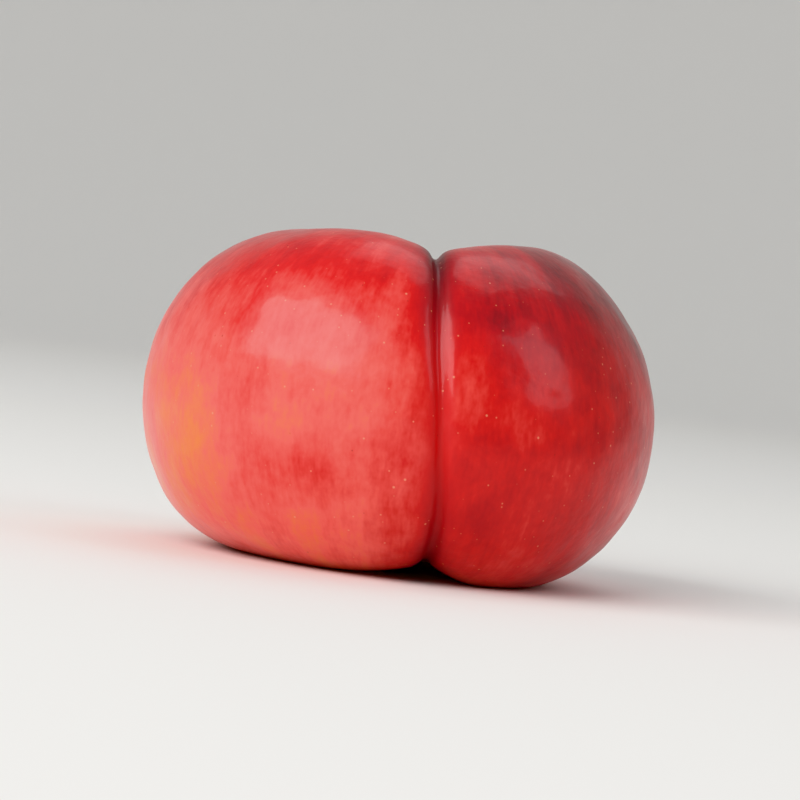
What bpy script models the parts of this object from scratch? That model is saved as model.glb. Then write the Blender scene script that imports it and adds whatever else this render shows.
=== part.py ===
"""A flat nectarine, as picked, lying on its blossom end with the stem cavity up.

The fruit grew as one piece, so it is one solid. Seen from the front it has two cheeks, left and right of the
suture, the crease that runs from the stem cavity over the rim to the blossom end. Lengths are in metres, +Z is
up, the suture faces -Y, and the origin is on the table, under the middle of the fruit.
"""

import bisect
import itertools
import math

import bmesh
import bpy
from mathutils import Vector

# The fruit's size, outside.
CHEEK_WIDTH = 0.0585
SUTURE_TO_BACK = 0.0562
THICKNESS = 0.0384
GIRTH_HEIGHT = 0.0179

# The hollow that held the stem, in the top.
STEM_CAVITY_DEPTH = 0.0098
STEM_CREST_RADIUS = 0.0132
STEM_SCAR_RADIUS = 0.0021
STEM_CAVITY_STEEPNESS = 2.1

# The wide basin at the blossom end, underneath.
BLOSSOM_BASIN_DEPTH = 0.0062
BLOSSOM_CREST_RADIUS = 0.0150
BLOSSOM_SCAR_RADIUS = 0.0012
BLOSSOM_BASIN_STEEPNESS = 2.3

# How square the rim's section is: 2 is an ellipse, and more is fuller.
UPPER_FULLNESS = 2.02
LOWER_FULLNESS = 2.12

# The saddle between the cheeks: how much lower, or higher underneath, the fruit is at the suture and at its
# back than over the right cheek, and how wide each of these dips is, in degrees round the fruit. The left
# cheek is a little thinner, too.
SUTURE_DIP_TOP = 0.0003
SUTURE_DIP_UNDER = 0.0009
SUTURE_DIP_SPREAD = 20.0
BACK_DIP_TOP = 0.0031
BACK_DIP_SPREAD = 46.0
LEFT_CHEEK_DIP = 0.0007
LEFT_CHEEK_SPREAD = 62.0

# The underside is a little hollow between its three feet: one under each cheek and one at the back.
BETWEEN_FEET_RISE = 0.0006
BETWEEN_FEET_AT = 128.0
BETWEEN_FEET_SPREAD = 24.0
FOOT_FLAT = 0.0004

# The suture: a shallow valley in the rim, with a sharp crease along its bottom.
VALLEY_DEPTH = 0.0006
VALLEY_SPREAD = 22.0
CREASE_DEPTH_AT_STEM = 0.0012
CREASE_DEPTH_AT_GIRTH = 0.0008
CREASE_DEPTH_AT_BLOSSOM = 0.0012
CREASE_HALF_WIDTH = 0.0012
CREASE_STARTS_AT_RADIUS = 0.0030
CREASE_WHOLE_AT_RADIUS = 0.0095
CREASE_WHOLE_AT_FACING = 0.7

# The suture leans to the left towards the stem and to the right towards the blossom end, and wanders a little.
SUTURE_LEAN = 0.0014
SUTURE_WANDER = 0.0004
SUTURE_SWAY_SPREAD = 42.0

# The left cheek reaches further out from the suture, the right one narrows more above and below its girth, and
# the whole fruit swells a little unevenly.
LEFT_CHEEK_FULLER = 0.085
RIGHT_CHEEK_TAPER_ABOVE = 0.085
RIGHT_CHEEK_TAPER_BELOW = 0.090
SWELL = 0.0007
SWELL_WAVES = ((2.3, 1.1, 0.7), (1.4, 2.6, 2.1), (2.9, 1.9, 4.0))
FORM_STARTS_AT_RADIUS = 0.0015
FORM_WHOLE_AT_RADIUS = 0.0105

# The mesh: squares along each edge of the cube that becomes the fruit, and how strongly its columns are drawn
# towards the suture, where 1 leaves them even.
GRID_SQUARES = 24
COLUMN_DRAW = 1.35
SECTION_STEPS = 48

SKIN_COLOUR = (0.56, 0.025, 0.018, 1.0)
SKIN_ROUGHNESS = 0.34


def smooth_step(low, high, value):
    """0 up to low, 1 from high on, and a smooth rise between."""
    share = min(1.0, max(0.0, (value - low) / (high - low)))
    return share * share * (3 - 2 * share)


def bell(azimuth, centre, spread):
    """1 where the azimuth is at the centre, falling away on both sides, all in degrees round the fruit."""
    off = (azimuth - centre + 180) % 360 - 180
    return math.exp(-((off / spread) ** 2))


def hollow_wall(scar_radius, crest_radius, crest_height, depth, steepness):
    """The wall of a hollow, from the edge of its scar out to its crest. Depth is negative under the fruit."""
    for step in range(SECTION_STEPS + 1):
        share = step / SECTION_STEPS
        radius = scar_radius + (crest_radius - scar_radius) * share
        yield radius, crest_height - depth * (1 - share) ** steepness


def rim_quarter(crest_radius, crest_height, fullness):
    """A quarter of the rim, from a crest out to the widest girth, as part of a superellipse."""
    girth_radius = CHEEK_WIDTH / 2
    for step in range(SECTION_STEPS + 1):
        angle = math.pi / 2 * step / SECTION_STEPS
        out = math.sin(angle) ** (2 / fullness)
        up = max(0.0, math.cos(angle)) ** (2 / fullness)
        radius = crest_radius + (girth_radius - crest_radius) * out
        yield radius, GIRTH_HEIGHT + (crest_height - GIRTH_HEIGHT) * up


def section():
    """Half of the round fruit's section, as (radius, height) from the stem scar to the blossom scar."""
    stem_wall = hollow_wall(
        STEM_SCAR_RADIUS, STEM_CREST_RADIUS, THICKNESS, STEM_CAVITY_DEPTH, STEM_CAVITY_STEEPNESS
    )
    upper_rim = rim_quarter(STEM_CREST_RADIUS, THICKNESS, UPPER_FULLNESS)
    lower_rim = rim_quarter(BLOSSOM_CREST_RADIUS, 0.0, LOWER_FULLNESS)
    blossom_wall = hollow_wall(
        BLOSSOM_SCAR_RADIUS, BLOSSOM_CREST_RADIUS, 0.0, -BLOSSOM_BASIN_DEPTH, BLOSSOM_BASIN_STEEPNESS
    )
    points = [(0.0, THICKNESS - STEM_CAVITY_DEPTH)]
    points += stem_wall
    points += upper_rim
    points += reversed(list(lower_rim))
    points += reversed(list(blossom_wall))
    points.append((0.0, BLOSSOM_BASIN_DEPTH))
    return points


def lengths_along(points):
    """How far along the section each of its points is, as a share of its whole length."""
    steps = [math.dist(a, b) for a, b in itertools.pairwise(points)]
    reached = [0.0, *itertools.accumulate(steps)]
    return [length / reached[-1] for length in reached]


def point_along(points, shares, share):
    """The section's (radius, height) at a share of its length."""
    after = min(max(bisect.bisect_left(shares, share), 1), len(shares) - 1)
    before = after - 1
    gap = shares[after] - shares[before]
    part = (share - shares[before]) / gap if gap > 0 else 0.0
    return tuple(a + (b - a) * part for a, b in zip(points[before], points[after], strict=True))


def saddled_height(radius, height, azimuth):
    """The height with the dips at the suture and the back, and the rise between the feet, worked in."""
    formed = smooth_step(FORM_STARTS_AT_RADIUS, FORM_WHOLE_AT_RADIUS, radius)
    if height > GIRTH_HEIGHT:
        dip = SUTURE_DIP_TOP * bell(azimuth, 0, SUTURE_DIP_SPREAD)
        dip += BACK_DIP_TOP * bell(azimuth, 180, BACK_DIP_SPREAD)
        dip += LEFT_CHEEK_DIP * bell(azimuth, -90, LEFT_CHEEK_SPREAD)
        share = (height - GIRTH_HEIGHT) / (THICKNESS - GIRTH_HEIGHT)
        return height - dip * share * formed
    rise = SUTURE_DIP_UNDER * bell(azimuth, 0, SUTURE_DIP_SPREAD)
    for side in (-1, 1):
        rise += BETWEEN_FEET_RISE * bell(azimuth, side * BETWEEN_FEET_AT, BETWEEN_FEET_SPREAD)
    share = (GIRTH_HEIGHT - height) / GIRTH_HEIGHT
    return height + rise * share * formed


def cheek_reach(height, azimuth):
    """How far the skin reaches at a height and azimuth, as a share of the round fruit's radius there."""
    to_right = math.sin(math.radians(azimuth))
    reach = 1 - LEFT_CHEEK_FULLER * to_right
    if to_right > 0:
        above = max(0.0, height - GIRTH_HEIGHT) / (THICKNESS - GIRTH_HEIGHT)
        below = max(0.0, GIRTH_HEIGHT - height) / GIRTH_HEIGHT
        reach -= (RIGHT_CHEEK_TAPER_ABOVE * above**2 + RIGHT_CHEEK_TAPER_BELOW * below**2) * to_right
    return reach


def crease_depth(radius, height, azimuth):
    """How deep the suture's crease is at a point of the fruit, which is 0 away from the suture."""
    to_top = smooth_step(GIRTH_HEIGHT, THICKNESS, height)
    to_bottom = smooth_step(GIRTH_HEIGHT, 0.0, height)
    depth = CREASE_DEPTH_AT_GIRTH
    depth += (CREASE_DEPTH_AT_STEM - CREASE_DEPTH_AT_GIRTH) * to_top
    depth += (CREASE_DEPTH_AT_BLOSSOM - CREASE_DEPTH_AT_GIRTH) * to_bottom
    turn = math.radians(azimuth)
    across = radius * math.sin(turn)
    in_front = smooth_step(0.0, CREASE_WHOLE_AT_FACING, math.cos(turn))
    formed = smooth_step(CREASE_STARTS_AT_RADIUS, CREASE_WHOLE_AT_RADIUS, radius)
    return depth * formed * in_front * math.exp(-abs(across) / CREASE_HALF_WIDTH)


def suture_sway(radius, height, azimuth):
    """How far the skin near the suture moves to the right there."""
    upward = (height - GIRTH_HEIGHT) / (THICKNESS / 2)
    sway = SUTURE_WANDER * math.sin(math.tau * height / THICKNESS) - SUTURE_LEAN * upward
    formed = smooth_step(FORM_STARTS_AT_RADIUS, FORM_WHOLE_AT_RADIUS, radius)
    return sway * formed * bell(azimuth, 0, SUTURE_SWAY_SPREAD)


def swell(direction):
    """The fruit's slight unevenness in a direction from its middle, within -1 and 1."""
    x, y, z = direction
    waves = [math.sin(a * x + c) * math.cos(a * y - b * z + c) for a, b, c in SWELL_WAVES]
    return sum(waves) / len(waves)


def fruit_point(direction, points, shares):
    """The point of the skin for a direction on the unit sphere."""
    x, y, z = direction
    azimuth = math.degrees(math.atan2(x, -y))
    turn = math.radians(azimuth)
    radius, height = point_along(points, shares, math.acos(max(-1.0, min(1.0, z))) / math.pi)
    formed = smooth_step(FORM_STARTS_AT_RADIUS, FORM_WHOLE_AT_RADIUS, radius)
    inward = VALLEY_DEPTH * bell(azimuth, 0, VALLEY_SPREAD) * formed
    inward += crease_depth(radius, height, azimuth)
    inward -= SWELL * swell(direction) * formed
    # The skin moves in towards, or out from, the middle of the ring of flesh.
    across = radius - (STEM_CREST_RADIUS + BLOSSOM_CREST_RADIUS) / 2
    upward = height - GIRTH_HEIGHT
    reach = math.hypot(across, upward)
    radius -= inward * across / reach
    height = saddled_height(radius, height, azimuth) - inward * upward / reach
    sideways = suture_sway(radius, height, azimuth)
    radius *= cheek_reach(height, azimuth)
    return Vector((radius * math.sin(turn) + sideways, -radius * math.cos(turn), height))


def cube_direction(corner):
    """A direction on the unit sphere for a point on the cube from -1 to 1, with its squares made even there."""
    drawn = math.copysign(abs(corner.x) ** COLUMN_DRAW, corner.x)
    return Vector(math.tan(c * math.pi / 4) for c in (drawn, corner.y, corner.z)).normalized()


def stand_on_feet(mesh):
    """Brings the fruit to its size over its origin on the table, and presses its three feet flat there."""
    low = Vector(map(min, zip(*(v.co for v in mesh.verts), strict=True)))
    high = Vector(map(max, zip(*(v.co for v in mesh.verts), strict=True)))
    size = Vector((CHEEK_WIDTH, SUTURE_TO_BACK, THICKNESS + FOOT_FLAT))
    for vertex in mesh.verts:
        for axis in range(3):
            share = (vertex.co[axis] - low[axis]) / (high[axis] - low[axis])
            vertex.co[axis] = size[axis] * (share - 0.5)
        vertex.co.z = max(0.0, vertex.co.z + THICKNESS - size.z / 2)


def skin_material():
    material = bpy.data.materials.new("nectarine_skin")
    material.use_nodes = True
    shader = material.node_tree.nodes["Principled BSDF"]
    shader.inputs["Base Color"].default_value = SKIN_COLOUR
    shader.inputs["Roughness"].default_value = SKIN_ROUGHNESS
    shader.inputs["Metallic"].default_value = 0.0
    return material


def build_nectarine():
    """One solid: a cube cut into a grid of squares, each corner of which is moved to its place on the skin."""
    points = section()
    shares = lengths_along(points)
    mesh = bmesh.new()
    bmesh.ops.create_cube(mesh, size=2)
    bmesh.ops.subdivide_edges(mesh, edges=mesh.edges, cuts=GRID_SQUARES - 1, use_grid_fill=True)
    for vertex in mesh.verts:
        vertex.co = fruit_point(cube_direction(vertex.co), points, shares)
    stand_on_feet(mesh)
    bmesh.ops.triangulate(mesh, faces=mesh.faces, quad_method="SHORT_EDGE")
    data = bpy.data.meshes.new("nectarine")
    mesh.to_mesh(data)
    mesh.free()
    data.shade_smooth()
    data.materials.append(skin_material())
    nectarine = bpy.data.objects.new("nectarine", data)
    bpy.context.scene.collection.objects.link(nectarine)


def main():
    for leftover in list(bpy.data.objects):
        bpy.data.objects.remove(leftover)
    build_nectarine()


main()
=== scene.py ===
"""The looks of a flat nectarine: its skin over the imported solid, a plain studio round it, and the camera.

It is laid out as an add-on, with the fruit and the studio as operators, and is run as a script. Lengths
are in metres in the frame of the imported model: +Z is up out of the stem cavity, and the suture faces -Y.
Inside the skin's material, lengths are in millimetres.
"""

import functools
import math

import bmesh
import bpy
from mathutils import Matrix, Vector


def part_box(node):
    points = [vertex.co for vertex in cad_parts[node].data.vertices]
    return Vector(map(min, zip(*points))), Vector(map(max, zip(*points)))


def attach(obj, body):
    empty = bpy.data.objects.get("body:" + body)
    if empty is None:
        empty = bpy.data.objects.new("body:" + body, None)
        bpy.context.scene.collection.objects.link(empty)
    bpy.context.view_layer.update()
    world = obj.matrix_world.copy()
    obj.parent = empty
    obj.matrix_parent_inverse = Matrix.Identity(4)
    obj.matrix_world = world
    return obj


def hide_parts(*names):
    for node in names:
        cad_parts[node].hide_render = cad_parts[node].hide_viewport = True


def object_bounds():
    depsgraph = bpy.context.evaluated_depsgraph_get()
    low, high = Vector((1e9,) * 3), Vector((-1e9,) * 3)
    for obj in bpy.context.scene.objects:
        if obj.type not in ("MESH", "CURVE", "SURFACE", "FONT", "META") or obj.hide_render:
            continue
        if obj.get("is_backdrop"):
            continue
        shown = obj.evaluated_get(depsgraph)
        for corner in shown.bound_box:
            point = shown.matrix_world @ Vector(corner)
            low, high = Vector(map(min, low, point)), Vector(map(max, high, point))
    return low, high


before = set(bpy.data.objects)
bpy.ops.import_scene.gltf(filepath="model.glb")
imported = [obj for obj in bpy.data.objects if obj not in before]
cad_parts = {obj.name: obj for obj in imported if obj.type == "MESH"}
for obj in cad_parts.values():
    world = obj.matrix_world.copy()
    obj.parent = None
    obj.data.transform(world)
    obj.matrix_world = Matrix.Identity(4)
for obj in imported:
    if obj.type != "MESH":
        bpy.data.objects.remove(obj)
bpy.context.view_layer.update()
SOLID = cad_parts["nectarine"]
SOLID_LOW, SOLID_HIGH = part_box("nectarine")
GIRTH_HEIGHT = (SOLID_LOW.z + SOLID_HIGH.z) * 0.46

bl_info = {
    "name": "Flat nectarine",
    "version": (1, 0, 0),
    "blender": (4, 5, 0),
    "location": "3D View > Sidebar > Nectarine",
    "description": "Models a flat nectarine over its packed solid, and sets up a plain studio round it",
    "category": "Add Mesh",
}

MM = 0.001


def linear(hex_colour):
    """An sRGB colour written as #RRGGBB, as linear red, green, blue and alpha."""
    channels = [int(hex_colour[i : i + 2], 16) / 255 for i in (1, 3, 5)]
    return (*[c / 12.92 if c <= 0.04045 else ((c + 0.055) / 1.055) ** 2.4 for c in channels], 1.0)


def length(name, description, default):
    """A size that a user may change, in metres."""
    return bpy.props.FloatProperty(
        name=name, description=description, default=default, min=0.0, precision=5, unit="LENGTH"
    )


def colour(name, description, hex_colour):
    """A colour that a user may change, given as sRGB and kept as linear."""
    return bpy.props.FloatVectorProperty(
        name=name,
        description=description,
        default=linear(hex_colour),
        size=4,
        min=0.0,
        max=1.0,
        subtype="COLOR",
    )


def angle(name, description, degrees):
    """An angle that a user may change, given in degrees and kept in radians."""
    return bpy.props.FloatProperty(
        name=name, description=description, default=math.radians(degrees), subtype="ANGLE"
    )


class NectarineForm(bpy.types.PropertyGroup):
    suture_lean: length("Suture lean", "How far the suture stands to the left at its top", 1.4 * MM)
    suture_wander: length("Suture wander", "How far the suture's line bends on its way down", 0.4 * MM)
    suture_depth: length("Suture depth", "How much deeper than in the solid the crease is cut", 0.5 * MM)
    suture_half_width: length("Suture half width", "How far the cut reaches to each side", 1.5 * MM)
    wander: length("Wander", "How far the suture and the cheeks stray from a regular form", 0.9 * MM)
    wander_length: length("Wander length", "The distance over which they stray", 16 * MM)
    wave_height: length("Wave height", "The height of the shallow waves in the skin", 0.22 * MM)
    wave_length: length("Wave length", "The size of the shallow waves in the skin", 5.5 * MM)
    stem_scar_radius: length("Stem scar radius", "The corky scar that the stem left", 2.0 * MM)
    stem_scar_depth: length("Stem scar depth", "How far the scar is sunk inside its rim", 0.7 * MM)
    stem_rim_height: length("Stem rim height", "The height of the rim round the scar", 0.28 * MM)
    stem_fold_depth: length("Stem fold depth", "The depth of the folds round the scar", 0.22 * MM)
    stem_fold_length: length("Stem fold length", "How far the folds reach up the cavity's wall", 6.5 * MM)
    blossom_scar_radius: length("Blossom scar radius", "The dry scar where the flower was", 1.3 * MM)
    blossom_scar_depth: length("Blossom scar depth", "How far the blossom scar is sunk", 0.4 * MM)
    blossom_rim_height: length("Blossom rim height", "The height of the rim round it", 0.15 * MM)
    blossom_fold_depth: length("Blossom fold depth", "The depth of the folds round it", 0.12 * MM)
    blossom_fold_length: length("Blossom fold length", "How far its folds reach out", 4 * MM)


class NectarineSkin(bpy.types.PropertyGroup):
    ground: colour("Ground", "The yellow skin where no sun reached", "#F5B04E")
    flush: colour("Flush", "The first orange over the ground", "#F0803A")
    # Coral is the cheek's own red with painted sheen in it: a pale pink veil of reflected light is mixed into
    # the colour.
    coral_with_sheen: colour("Coral", "The coral red of the half-ripened cheek", "#F2655C")
    scarlet: colour("Scarlet", "The scarlet of the blush", "#D02221")
    crimson: colour("Crimson", "The crimson of the sunny cheek", "#AE1219")
    # Maroon is also where the top and the suture's ends are darkened as painted shade.
    maroon: colour("Maroon", "The deepest red, on the shoulder towards the sun", "#690914")
    cavity: colour("Cavity", "The greenish yellow round the stem scar", "#C9B455")
    pale_dot: colour("Pale dot", "A breathing pore on red skin", "#F2B08A")
    dark_dot: colour("Dark dot", "A breathing pore on yellow skin, or a dried one", "#6E1A10")
    cork_light: colour("Light cork", "The pale grain of the scars' cork", "#BD9263")
    cork_dark: colour("Dark cork", "The dark grain of the scars' cork", "#5B3820")
    sun_azimuth: angle("Sun azimuth", "The sunniest side, from the suture to the right", 75)
    shade_azimuth: angle("Shade azimuth", "The shadiest side, from the suture to the right", -82)
    shade_elevation: angle("Shade elevation", "How high above the girth the most shade was", -14)
    pore_spacing: length("Pore spacing", "The size of the cells that may hold a pore", 1.0 * MM)


class NectarineStudio(bpy.types.PropertyGroup):
    azimuth: angle("Azimuth", "The camera's place round the fruit", -5)
    elevation: angle("Elevation", "The camera's height, as an angle", 2)
    roll: angle("Roll", "The camera's turn about its own line of sight", 7)
    lens_mm: bpy.props.FloatProperty(
        name="Lens", description="The camera's focal length in millimetres", default=180.0, min=20.0
    )
    fruit_share: bpy.props.FloatProperty(
        name="Fruit's share",
        description="The share of the picture's width that the fruit fills",
        default=0.64,
        min=0.1,
        max=1.0,
        subtype="FACTOR",
    )
    floor_radius: length("Floor radius", "The round floor's radius, with the part that sweeps up", 1.3)
    floor_rise: length("Floor rise", "How high the floor's edge sweeps up", 1.0)
    floor_sweep: length("Floor sweep", "The radius of the sweep", 0.6)
    floor_tone: colour("Floor", "The plain pale floor", "#F0EEEA")
    air_tone: colour("Air", "The even light from all round", "#EEF1F5")
    air_strength: bpy.props.FloatProperty(
        name="Air strength", description="How strong the light from all round is", default=0.54, min=0.0
    )


def select_only(thing):
    """Leaves one object selected and active, because an operator acts on all that is selected."""
    bpy.ops.object.select_all(action="DESELECT")
    thing.select_set(True)
    bpy.context.view_layer.objects.active = thing


def apply_modifier(thing, name, kind, **settings):
    """Adds a modifier with its settings and applies it."""
    modifier = thing.modifiers.new(name, kind)
    for setting, value in settings.items():
        setattr(modifier, setting, value)
    select_only(thing)
    bpy.ops.object.modifier_apply(modifier=modifier.name)


def select_where(thing, test):
    """In edit mode: selects the vertices whose place passes the test, and nothing else."""
    mesh = bmesh.from_edit_mesh(thing.data)
    for vertex in mesh.verts:
        if not vertex.hide:
            vertex.select_set(bool(test(vertex.co)))
    mesh.select_flush_mode()
    bmesh.update_edit_mesh(thing.data)


def middle_of_floor(low_end):
    """The middle of the flat floor of the stem cavity or, with low_end, of the blossom basin's ceiling."""
    side = -1 if low_end else 1
    near_axis, level_within = 8 * MM, 0.3 * MM
    places = [v.co for v in SOLID.data.vertices if v.co.xy.length < near_axis]
    places = [p for p in places if (p.z - GIRTH_HEIGHT) * side > 0]
    floor = min(side * p.z for p in places)
    flat = [p for p in places if side * p.z < floor + level_within]
    low = Vector(map(min, zip(*flat, strict=True)))
    high = Vector(map(max, zip(*flat, strict=True)))
    return (low + high) / 2


STEM_SCAR = middle_of_floor(low_end=False)
BLOSSOM_SCAR = middle_of_floor(low_end=True)


def from_scar(place, scar):
    """How far a place is from a scar's middle, seen from above."""
    return (place.xy - scar.xy).length


def rounded_solid():
    """A copy of the solid with its loose triangles merged to a net of squares, and rounded once."""
    fruit = bpy.data.objects.new("nectarine_fruit", SOLID.data.copy())
    bpy.context.scene.collection.objects.link(fruit)
    fruit.data.name = "nectarine_fruit"
    select_only(fruit)
    bpy.ops.mesh.customdata_custom_splitnormals_clear()
    bpy.ops.object.mode_set(mode="EDIT")
    bpy.ops.mesh.select_mode(type="VERT")
    bpy.ops.mesh.select_all(action="SELECT")
    bpy.ops.mesh.remove_doubles(threshold=0.01 * MM)
    flat_enough = math.radians(60)
    bpy.ops.mesh.tris_convert_to_quads(face_threshold=flat_enough, shape_threshold=flat_enough)
    bpy.ops.mesh.normals_make_consistent(inside=False)
    bpy.ops.object.mode_set(mode="OBJECT")
    apply_modifier(fruit, "round", "SUBSURF", levels=1, render_levels=1)
    return fruit


def sink(fruit, test, depth, reach, falloff="SMOOTH"):
    """In edit mode: draws the vertices that pass the test into the skin, and others along with them."""
    select_where(fruit, test)
    bpy.ops.transform.shrink_fatten(
        value=-depth,
        use_proportional_edit=True,
        proportional_edit_falloff=falloff,
        proportional_size=reach,
    )


def beside_suture(place, form):
    """How far a place is to the right of the suture's line, which the solid's own mesh follows."""
    upward = (place.z - GIRTH_HEIGHT) / (SOLID_HIGH.z / 2)
    sway = form.suture_wander * math.sin(math.tau * place.z / SOLID_HIGH.z) - form.suture_lean * upward
    sways_from = 10.5 * MM  # nearer to the stem's axis, the line comes back to the middle
    out = min(1.0, max(0.0, (STEM_SCAR.y - place.y) / sways_from))
    return place.x - STEM_SCAR.x - sway * out * out * (3 - 2 * out)


def cut_suture(fruit, form):
    """Draws the net's middle column in, so that the suture is a crease and not only a valley.

    It is cut in passes, each starting further from the stem's axis, so that it deepens on its way out.
    """
    starts = (2.6 * MM, 4.2 * MM, 6.5 * MM)
    half_column = 0.22 * MM
    bpy.ops.object.mode_set(mode="EDIT")
    for start in starts:

        def in_crease(place, start=start):
            return place.y < STEM_SCAR.y - start and abs(beside_suture(place, form)) < half_column

        sink(fruit, in_crease, form.suture_depth / len(starts), form.suture_half_width, "SHARP")
    bpy.ops.object.mode_set(mode="OBJECT")


def mark_suture(fruit, form):
    """Keeps how near each vertex is to the suture, so that its colour follows the crease where it strays."""
    starts, fades_in_over, half_band = 3 * MM, 6 * MM, 1.9 * MM
    near = fruit.data.attributes.new("suture", "FLOAT", "POINT")
    for vertex, mark in zip(fruit.data.vertices, near.data, strict=True):
        out = STEM_SCAR.y - vertex.co.y
        fade = min(1.0, max(0.0, (out - starts) / fades_in_over))
        mark.value = fade * math.exp(-((beside_suture(vertex.co, form) / half_band) ** 2))


def noise_texture(name, size):
    """Cloudy noise for a Displace modifier, with clouds of about that size."""
    texture = bpy.data.textures.new(name, "CLOUDS")
    texture.noise_scale = size
    texture.noise_depth = 2
    return texture


def roughen_form(fruit, form):
    """Lets the suture stray to the sides, then lays shallow waves over the skin, because no fruit is even."""
    apply_modifier(
        fruit,
        "sway",
        "DISPLACE",
        texture=noise_texture("sway", form.wander_length),
        direction="X",
        strength=form.wander,
        texture_coords="LOCAL",
    )
    apply_modifier(
        fruit,
        "waves",
        "DISPLACE",
        texture=noise_texture("waves", form.wave_length),
        strength=form.wave_height,
        texture_coords="LOCAL",
    )


def shape_scar(fruit, scar, radius, depth, rim, folds, fold_depth, fold_length):
    """Sinks a scar inside a raised rim of cork, with folds of skin that run out from it.

    Folds are turned and shortened unevenly, and each is drawn in by thirds of its depth that end further and
    further out, so that it fades away from the scar.
    """
    side = 1 if scar.z > GIRTH_HEIGHT else -1

    def within(reach):
        return lambda place: (place.z - GIRTH_HEIGHT) * side > 0 and from_scar(place, scar) < reach

    bpy.ops.object.mode_set(mode="EDIT")
    select_where(fruit, within(fold_length + 2 * MM))
    bpy.ops.mesh.subdivide(number_cuts=2, ngon=False)
    bpy.ops.mesh.vertices_smooth(factor=0.5, repeat=3)
    bpy.ops.mesh.hide(unselected=True)
    half_fold = 0.12 * MM
    for fold in range(folds):
        turn = math.tau * (fold + 0.32 * math.sin(fold * 2.4)) / folds
        out = Vector((math.cos(turn), math.sin(turn)))
        for part in (0.45, 0.7, 0.9 + 0.1 * math.sin(fold * 1.7)):

            def in_fold(place, out=out, part=part):
                flat = place.xy - scar.xy
                aside = abs(flat.x * out.y - flat.y * out.x)
                return radius * 1.3 < flat.dot(out) < fold_length * part and aside < half_fold

            sink(fruit, in_fold, fold_depth / 3, radius * 0.5)
    sink(fruit, lambda place: radius * 0.95 < from_scar(place, scar) < radius * 1.1, -rim, radius * 0.35)
    sink(fruit, lambda place: from_scar(place, scar) < radius * 0.62, depth, radius * 0.3)
    sink(fruit, lambda place: from_scar(place, scar) < radius * 0.14, -depth * 0.6, radius * 0.3)
    bpy.ops.mesh.reveal(select=False)
    select_where(fruit, within(radius * 1.25))
    bpy.ops.object.vertex_group_add()
    fruit.vertex_groups.active.name = "scar"
    bpy.ops.object.vertex_group_assign()
    bpy.ops.object.mode_set(mode="OBJECT")
    apply_modifier(
        fruit,
        "cork",
        "DISPLACE",
        texture=noise_texture("cork", 0.55 * MM),
        strength=radius * 0.16,
        texture_coords="LOCAL",
        vertex_group="scar",
    )
    fruit.vertex_groups.clear()


def press_feet(fruit):
    """Sets the fruit back on the table, with its feet flat."""
    pressed = 0.02 * MM
    bpy.ops.object.mode_set(mode="EDIT")
    select_where(fruit, lambda place: place.z < pressed)
    bpy.ops.transform.resize(value=(1, 1, 0), center_override=(0, 0, 0))
    bpy.ops.object.mode_set(mode="OBJECT")


# Kinds of shader node that come up often, and settings that several of them share. A RANGE node's inputs 1
# and 2 are the values at which it gives 0 and 1. A MIX node's are 0, the amount, then 2 and 3 for two numbers
# or 6 and 7 for two colours.
MATH = "ShaderNodeMath"
VECTOR_MATH = "ShaderNodeVectorMath"
RANGE = "ShaderNodeMapRange"
MIX = "ShaderNodeMix"
NOISE = "ShaderNodeTexNoise"
MAPPING = "ShaderNodeMapping"
SMOOTH = {"interpolation_type": "SMOOTHSTEP"}
TINTS = {"data_type": "RGBA"}


def add_node(tree, kind, feeds, **settings):
    """Adds one node with its settings and links, and gives the first of its outputs that is in use.

    feeds gives an input, by its name or number, a value or the output of another node.
    """
    node = tree.nodes.new(kind)
    node.location = (len(tree.nodes) % 10 * 220, -(len(tree.nodes) // 10) * 320)
    for name, value in settings.items():
        setattr(node, name, value)
    for socket, value in feeds.items():
        if isinstance(value, bpy.types.NodeSocket):
            tree.links.new(value, node.inputs[socket])
        else:
            node.inputs[socket].default_value = value
    return next(output for output in node.outputs if output.enabled)


def weighted_sum(tree, start, terms):
    """start plus each term's output times its weight."""
    total = start
    for output, weight in terms:
        total = add_node(tree, MATH, {0: output, 1: weight, 2: total}, operation="MULTIPLY_ADD")
    return total


def skin_places(tree):
    """Where a point of the skin is, in millimetres: its place from the foot of the stem's axis, its height
    above the table, its distance from the axis, and its direction round the axis."""
    here = add_node(tree, "ShaderNodeTexCoord", {}).node.outputs["Object"]
    stem = -STEM_SCAR / MM
    place = add_node(tree, MAPPING, {"Vector": here, "Location": (stem.x, stem.y, 0), "Scale": (1 / MM,) * 3})
    height = add_node(tree, "ShaderNodeSeparateXYZ", {0: place}).node.outputs["Z"]
    flat = add_node(tree, VECTOR_MATH, {0: place, 1: (1, 1, 0)}, operation="MULTIPLY")
    radius = add_node(tree, VECTOR_MATH, {0: flat}, operation="LENGTH")
    around = add_node(tree, VECTOR_MATH, {0: flat}, operation="NORMALIZE")
    return place, height, radius, around


def streaks(tree, place, around, count, long_mm, detail):
    """Noise drawn out from the stem to the blossom: about count streaks round the fruit, each so long."""
    girth = count / math.tau  # round the axis, the direction's tip goes 2 pi
    down = add_node(tree, VECTOR_MATH, {0: place, 1: (0, 0, 1 / long_mm)}, operation="MULTIPLY")
    drawn = add_node(tree, VECTOR_MATH, {0: around, 1: (girth, girth, 0), 2: down}, operation="MULTIPLY_ADD")
    return add_node(tree, NOISE, {"Vector": drawn, "Scale": 1.0, "Detail": detail, "Roughness": 0.6})


def towards(azimuth, elevation=0.0):
    """The direction at an angle round the fruit from the suture, and at an angle above its girth."""
    level = math.cos(elevation)
    return Vector((math.sin(azimuth) * level, -math.cos(azimuth) * level, math.sin(elevation)))


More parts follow.
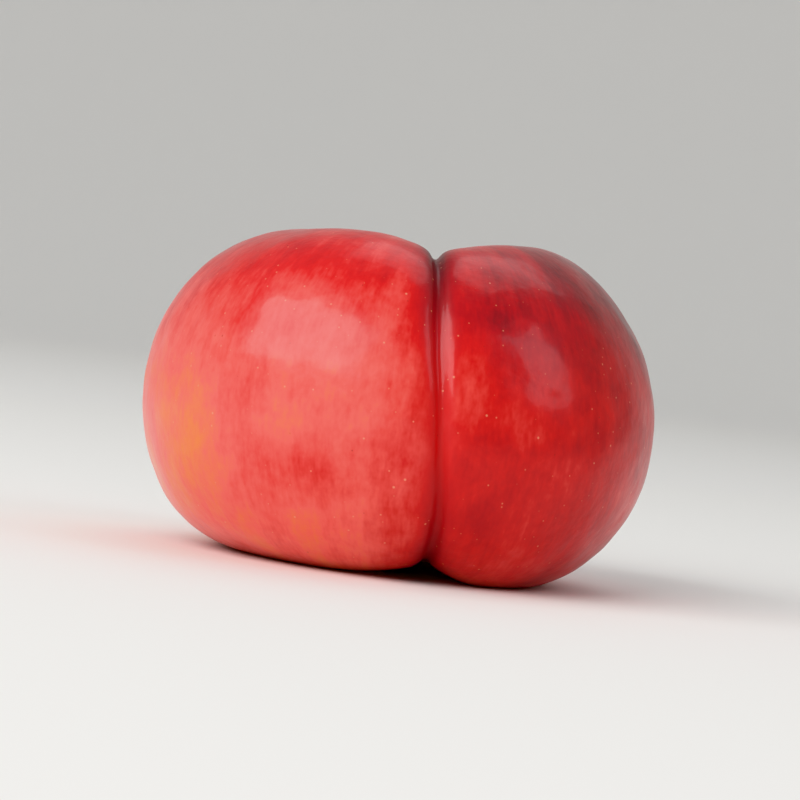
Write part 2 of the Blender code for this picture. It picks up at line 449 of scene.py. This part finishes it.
def out_of_fruit(tree, place):
    """The direction from the middle of the flesh out to a point of the skin, as if the fruit were round."""
    middle = (0, 0, -GIRTH_HEIGHT / MM)
    flatness = (SOLID_HIGH.x - SOLID_LOW.x) / (SOLID_HIGH.z - SOLID_LOW.z)
    out = add_node(tree, VECTOR_MATH, {0: place, 1: middle}, operation="ADD")
    out = add_node(tree, VECTOR_MATH, {0: out, 1: (1, 1, flatness)}, operation="MULTIPLY")
    return add_node(tree, VECTOR_MATH, {0: out}, operation="NORMALIZE")


def blush_and_shade_colour(tree, blush_and_shade, colours):
    """The skin's colour by how far it has blushed, with the painted shade over the top and in the suture's
    ends counted in: 0 is the yellow ground, and 1 is maroon.
    """
    ramp = add_node(tree, "ShaderNodeValToRGB", {0: blush_and_shade})
    stops = (
        (0.0, colours.ground),
        (0.16, colours.flush),
        # The coral stop carries painted sheen as well as the cheek's red.
        (0.37, colours.coral_with_sheen),
        (0.61, colours.scarlet),
        (0.79, colours.crimson),
        (1.0, colours.maroon),
    )
    elements = ramp.node.color_ramp.elements
    while len(elements) < len(stops):
        elements.new(0.5)
    for element, (position, tone) in zip(elements, stops, strict=True):
        element.position = position
        element.color = tone
    return ramp


def nectarine_skin(colours, form):
    """Nectarine skin, as it grew: smooth, thin, hairless and waxy over moist flesh.

    To the eye it has deep saturated reds with a little light that has been under the surface, a broad satin
    sheen, and a clearer glint from the wax.
    """
    material = bpy.data.materials.new("nectarine_skin")
    material.use_nodes = True
    tree = material.node_tree
    shader = tree.nodes["Principled BSDF"]
    add = functools.partial(add_node, tree)
    place, height, radius, around = skin_places(tree)
    out = out_of_fruit(tree, place)
    upward = add(VECTOR_MATH, {0: out, 1: (0, 0, 1)}, operation="DOT_PRODUCT")
    girth_height = GIRTH_HEIGHT / MM
    on_top = add(RANGE, {0: height, 1: girth_height - 4, 2: girth_height + 4}, **SMOOTH)
    underneath = add(RANGE, {0: height, 1: 12.0, 2: 1.5}, **SMOOTH)

    # The blush follows the sun's reach. It is weakest on the left, round the stem and underneath.
    # The deeper red over the top is partly the shoulder's own blush and partly painted shade.
    sun = towards(colours.sun_azimuth)
    to_sun = add(VECTOR_MATH, {0: out, 1: sun}, operation="DOT_PRODUCT")
    sunny = add(RANGE, {0: to_sun, 1: -0.12, 2: 0.55}, **SMOOTH)
    shade = towards(colours.shade_azimuth, colours.shade_elevation)
    to_shade = add(VECTOR_MATH, {0: out, 1: shade}, operation="DOT_PRODUCT")
    shaded = add(RANGE, {0: to_shade, 1: 0.74, 2: 1.0}, **SMOOTH)
    # Partly painted shade: this mask darkens the skin over the top as well as blushing it.
    shoulder_blush_and_shade = add(RANGE, {0: upward, 1: 0.15, 2: 0.9}, **SMOOTH)
    near_stem = add(RANGE, {0: radius, 1: 9.5, 2: 1.5}, **SMOOTH)
    in_cavity = add(MATH, {0: near_stem, 1: on_top}, operation="MULTIPLY")
    near_blossom = add(RANGE, {0: radius, 1: 15.0, 2: 2.0}, **SMOOTH)
    in_basin = add(MATH, {0: near_blossom, 1: underneath}, operation="MULTIPLY")

    # It is broken up by clouds of about 16 and 4.5 mm, and by streaks from the stem to the blossom: wide ones
    # 3.3 mm apart at the girth, fine ones 1.1 mm apart and flecks 0.5 mm wide, as on a real skin. They fade
    # out towards the stem, where they would crowd.
    elsewhere = add(MAPPING, {"Vector": place, "Location": (31.0, 31.0, 31.0)})
    broad = add(NOISE, {"Vector": elsewhere, "Scale": 1 / 16.0, "Detail": 2.0, "Roughness": 0.5})
    patches = add(NOISE, {"Vector": place, "Scale": 1 / 4.5, "Detail": 4.0, "Roughness": 0.6})
    wide_streaks = streaks(tree, place, around, count=54, long_mm=12.0, detail=3.0)
    fine_streaks = streaks(tree, place, around, count=170, long_mm=4.5, detail=2.0)
    flecks = streaks(tree, place, around, count=330, long_mm=1.1, detail=1.0)
    streak = weighted_sum(tree, -0.245, ((wide_streaks, 0.24), (fine_streaks, 0.13), (flecks, 0.12)))
    away_from_stem = add(RANGE, {0: radius, 1: 2.0, 2: 13.0}, **SMOOTH)
    streak = add(MATH, {0: streak, 1: away_from_stem}, operation="MULTIPLY")
    blush_and_shade = weighted_sum(
        tree,
        -0.01,
        (
            (sunny, 0.25),
            (shaded, -0.10),
            (shoulder_blush_and_shade, 0.28),
            (broad, 0.44),
            (patches, 0.38),
            (streak, 1.0),
            (in_cavity, -0.40),
            (in_basin, -0.20),
        ),
    )

    # The suture is a deep red band. It is darker towards both ends, where the crease deepens, and that
    # darkening is painted shade.
    suture = add("ShaderNodeAttribute", {}, attribute_name="suture").node.outputs["Fac"]
    crease_shade_to_ends = add(MATH, {0: upward, 1: upward}, operation="MULTIPLY")
    suture_red_and_shade = weighted_sum(tree, 0.66, ((crease_shade_to_ends, 0.55),))
    in_suture = add(MATH, {0: suture, 1: 0.9}, operation="MULTIPLY")
    blush_and_shade = add(MIX, {0: in_suture, 2: blush_and_shade, 3: suture_red_and_shade})
    tone = blush_and_shade_colour(tree, blush_and_shade, colours)

    # Where the cavity hasn't blushed it is greenish.
    unblushed = add(RANGE, {0: blush_and_shade, 1: 0.40, 2: 0.02}, **SMOOTH)
    greenish = add(MATH, {0: in_cavity, 1: unblushed}, operation="MULTIPLY")
    tone = add(MIX, {0: greenish, 6: tone, 7: colours.cavity}, **TINTS)

    # Breathing pores, pale on red and dark on yellow, with a few dried dark ones. Each cell's own chance
    # thins them out and sizes them. Real ones are 0.1 to 0.2 mm wide. These are up to 0.35 mm, to show.
    to_pore = add("ShaderNodeTexVoronoi", {"Vector": place, "Scale": MM / colours.pore_spacing})
    chance = add("ShaderNodeSeparateColor", {0: to_pore.node.outputs["Color"]})
    to_pore = weighted_sum(tree, to_pore, ((chance, 0.155), (patches, 0.16)))
    pore = add(RANGE, {0: to_pore, 1: 0.26, 2: 0.13}, **SMOOTH)
    on_red = add(RANGE, {0: blush_and_shade, 1: 0.12, 2: 0.34}, **SMOOTH)
    fresh = add(RANGE, {0: chance.node.outputs["Green"], 1: 0.88, 2: 0.84}, **SMOOTH)
    pale = add(MATH, {0: on_red, 1: fresh}, operation="MULTIPLY")
    pore_tone = add(MIX, {0: pale, 6: colours.dark_dot, 7: colours.pale_dot}, **TINTS)
    pore_strength = add(MATH, {0: pore, 1: 0.5}, operation="MULTIPLY")
    tone = add(MIX, {0: pore_strength, 6: tone, 7: pore_tone}, **TINTS)

    # Cork in both scars, dry and brown, with crumbs of about 0.35 mm and an edge that is ragged over 0.9 mm.
    grain = add(NOISE, {"Vector": place, "Scale": 1 / 0.35, "Detail": 4.0, "Roughness": 0.7})
    ragged = add(NOISE, {"Vector": place, "Scale": 1 / 0.9, "Detail": 3.0, "Roughness": 0.5})
    to_scar = weighted_sum(tree, radius, ((ragged, 1.1),))
    corks = []
    for scar_radius, end in ((form.stem_scar_radius, on_top), (form.blossom_scar_radius, underneath)):
        edge = scar_radius / MM + 0.35
        within = add(RANGE, {0: to_scar, 1: edge + 0.4, 2: edge}, **SMOOTH)
        corks.append(add(MATH, {0: within, 1: end}, operation="MULTIPLY"))
    cork = add(MATH, {0: corks[0], 1: corks[1]}, operation="MAXIMUM")
    light_grain = add(RANGE, {0: grain, 1: 0.35, 2: 0.65}, **SMOOTH)
    cork_tone = add(MIX, {0: light_grain, 6: colours.cork_dark, 7: colours.cork_light}, **TINTS)
    tone = add(MIX, {0: cork, 6: tone, 7: cork_tone}, **TINTS)

    # The finish: wax that is a little uneven and duller in the suture, and matt cork. The skin's own relief
    # is pebbles of 1.1 mm that are 0.05 mm high.
    roughness = weighted_sum(tree, 0.27, ((patches, 0.12), (pore, 0.08), (suture, 0.15), (cork, 0.5)))
    pebbles = add(NOISE, {"Vector": place, "Scale": 1 / 1.1, "Detail": 2.0, "Roughness": 0.5})
    crumbs = add(MATH, {0: grain, 1: cork}, operation="MULTIPLY")
    relief_height = weighted_sum(tree, 0.0, ((pebbles, 0.05), (pore, 0.012), (crumbs, 0.35)))
    relief = add("ShaderNodeBump", {"Height": relief_height, "Distance": MM, "Strength": 1.0})

    tree.links.new(tone, shader.inputs["Base Color"])
    tree.links.new(roughness, shader.inputs["Roughness"])
    tree.links.new(relief, shader.inputs["Normal"])
    for name, value in (
        ("IOR", 1.45),
        ("Subsurface Weight", 0.10),
        ("Subsurface Radius", (1.0, 0.32, 0.16)),
        ("Subsurface Scale", 1.2 * MM),
        ("Coat Weight", 0.35),
        ("Coat Roughness", 0.12),
    ):
        shader.inputs[name].default_value = value
    return material


class NECTARINE_OT_fruit(bpy.types.Operator):
    """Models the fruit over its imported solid, as one piece, and gives it its skin"""

    bl_idname = "nectarine.fruit"
    bl_label = "Fruit"

    def execute(self, context):
        form = context.scene.nectarine_form
        fruit = rounded_solid()
        mark_suture(fruit, form)
        cut_suture(fruit, form)
        apply_modifier(fruit, "round", "SUBSURF", levels=1, render_levels=1)
        shape_scar(
            fruit,
            STEM_SCAR,
            form.stem_scar_radius,
            form.stem_scar_depth,
            form.stem_rim_height,
            folds=7,
            fold_depth=form.stem_fold_depth,
            fold_length=form.stem_fold_length,
        )
        shape_scar(
            fruit,
            BLOSSOM_SCAR,
            form.blossom_scar_radius,
            form.blossom_scar_depth,
            form.blossom_rim_height,
            folds=5,
            fold_depth=form.blossom_fold_depth,
            fold_length=form.blossom_fold_length,
        )
        roughen_form(fruit, form)
        press_feet(fruit)
        select_only(fruit)
        bpy.ops.object.shade_smooth()
        fruit.data.materials.clear()
        fruit.data.materials.append(nectarine_skin(context.scene.nectarine_skin, form))
        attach(fruit, "root")
        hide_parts("nectarine")
        return {"FINISHED"}


def matt_white_board(tone):
    """Matt painted board: even, with no gloss to draw the eye."""
    material = bpy.data.materials.new("matt_white_board")
    material.use_nodes = True
    shader = material.node_tree.nodes["Principled BSDF"]
    shader.inputs["Base Color"].default_value = tone
    shader.inputs["Roughness"].default_value = 0.9
    return material


def add_floor(studio):
    """A wide round floor whose edge sweeps up far from the fruit, so that no horizon shows from any side."""
    bpy.ops.object.select_all(action="DESELECT")
    bpy.ops.mesh.primitive_circle_add(vertices=96, radius=studio.floor_radius, fill_type="NGON")
    floor = bpy.context.active_object
    floor.name = "studio_floor"
    bpy.ops.object.mode_set(mode="EDIT")
    bpy.ops.mesh.select_all(action="SELECT")
    bpy.ops.mesh.extrude_edges_move(TRANSFORM_OT_translate={"value": (0, 0, studio.floor_rise)})
    select_where(floor, lambda place: place.z < studio.floor_rise / 2)
    bpy.ops.mesh.bevel(offset=studio.floor_sweep, segments=16, affect="EDGES")
    bpy.ops.object.mode_set(mode="OBJECT")
    bpy.ops.object.shade_smooth()
    floor.data.materials.append(matt_white_board(studio.floor_tone))
    floor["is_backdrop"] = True


# Each light: its angle round the fruit from the suture and above the table, in degrees, its distance, width
# and height in metres, its power in watts, and its colour.
SOFTBOXES = {
    "key_softbox": (-50, 33, 0.65, 0.80, 0.46, 4.1, "#FFFFFF"),
    "fill_softbox": (64, 34, 0.75, 0.30, 0.42, 0.7, "#F4F7FF"),
    "top_softbox": (150, 66, 0.75, 0.50, 0.50, 0.7, "#FFFFFF"),
}


def add_softbox(name, azimuth, elevation, distance, width, height, power, tone):
    """A soft rectangular light that faces the fruit."""
    back = towards(math.radians(azimuth), math.radians(elevation))
    lamp = bpy.data.lights.new(name, "AREA")
    lamp.shape = "RECTANGLE"
    lamp.size = width
    lamp.size_y = height
    lamp.energy = power
    lamp.color = linear(tone)[:3]
    softbox = bpy.data.objects.new(name, lamp)
    softbox.location = (SOLID_LOW + SOLID_HIGH) / 2 + back * distance
    softbox.rotation_euler = (-back).to_track_quat("-Z", "Y").to_euler()
    bpy.context.scene.collection.objects.link(softbox)


def add_air(studio):
    """Even, slightly cool light from all round."""
    world = bpy.data.worlds.new("studio_air")
    world.use_nodes = True
    background = world.node_tree.nodes["Background"]
    background.inputs["Color"].default_value = studio.air_tone
    background.inputs["Strength"].default_value = studio.air_strength
    bpy.context.scene.world = world


def add_camera(studio):
    """Looks at the suture as the photograph does, from far off, so that the fruit's depth hardly shows."""
    lens = bpy.data.cameras.new("studio_camera")
    lens.lens = studio.lens_mm
    lens.clip_start = 0.02
    lens.clip_end = 6.0
    low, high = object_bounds()
    distance = (high.x - low.x) / studio.fruit_share * studio.lens_mm / lens.sensor_width
    back = towards(studio.azimuth, studio.elevation)
    aim = (-back).to_track_quat("-Z", "Y").to_matrix() @ Matrix.Rotation(studio.roll, 3, "Z")
    camera = bpy.data.objects.new("studio_camera", lens)
    camera.location = (low + high) / 2 + back * distance
    camera.rotation_euler = aim.to_euler()
    bpy.context.scene.collection.objects.link(camera)
    bpy.context.scene.camera = camera


class NECTARINE_OT_studio(bpy.types.Operator):
    """Sets up the plain pale floor, the soft lights and the camera"""

    bl_idname = "nectarine.studio"
    bl_label = "Studio"

    def execute(self, context):
        studio = context.scene.nectarine_studio
        add_floor(studio)
        add_air(studio)
        for name, softbox in SOFTBOXES.items():
            add_softbox(name, *softbox)
        add_camera(studio)
        context.scene.view_settings.view_transform = "Khronos PBR Neutral"
        return {"FINISHED"}


class NECTARINE_PT_panel(bpy.types.Panel):
    """Lists the operators and the values that they read"""

    bl_idname = "NECTARINE_PT_panel"
    bl_label = "Flat nectarine"
    bl_space_type = "VIEW_3D"
    bl_region_type = "UI"
    bl_category = "Nectarine"

    def draw(self, context):
        scene = context.scene
        for operator, group in (
            (NECTARINE_OT_fruit, scene.nectarine_form),
            (NECTARINE_OT_fruit, scene.nectarine_skin),
            (NECTARINE_OT_studio, scene.nectarine_studio),
        ):
            box = self.layout.box()
            box.operator(operator.bl_idname)
            for name in group.__annotations__:
                box.prop(group, name)


CLASSES = (
    NectarineForm,
    NectarineSkin,
    NectarineStudio,
    NECTARINE_OT_fruit,
    NECTARINE_OT_studio,
    NECTARINE_PT_panel,
)


def register():
    for each in CLASSES:
        bpy.utils.register_class(each)
    bpy.types.Scene.nectarine_form = bpy.props.PointerProperty(type=NectarineForm)
    bpy.types.Scene.nectarine_skin = bpy.props.PointerProperty(type=NectarineSkin)
    bpy.types.Scene.nectarine_studio = bpy.props.PointerProperty(type=NectarineStudio)


def unregister():
    del bpy.types.Scene.nectarine_studio
    del bpy.types.Scene.nectarine_skin
    del bpy.types.Scene.nectarine_form
    for each in reversed(CLASSES):
        bpy.utils.unregister_class(each)


def main():
    register()
    bpy.ops.nectarine.fruit()
    bpy.ops.nectarine.studio()


if __name__ == "__main__":
    main()
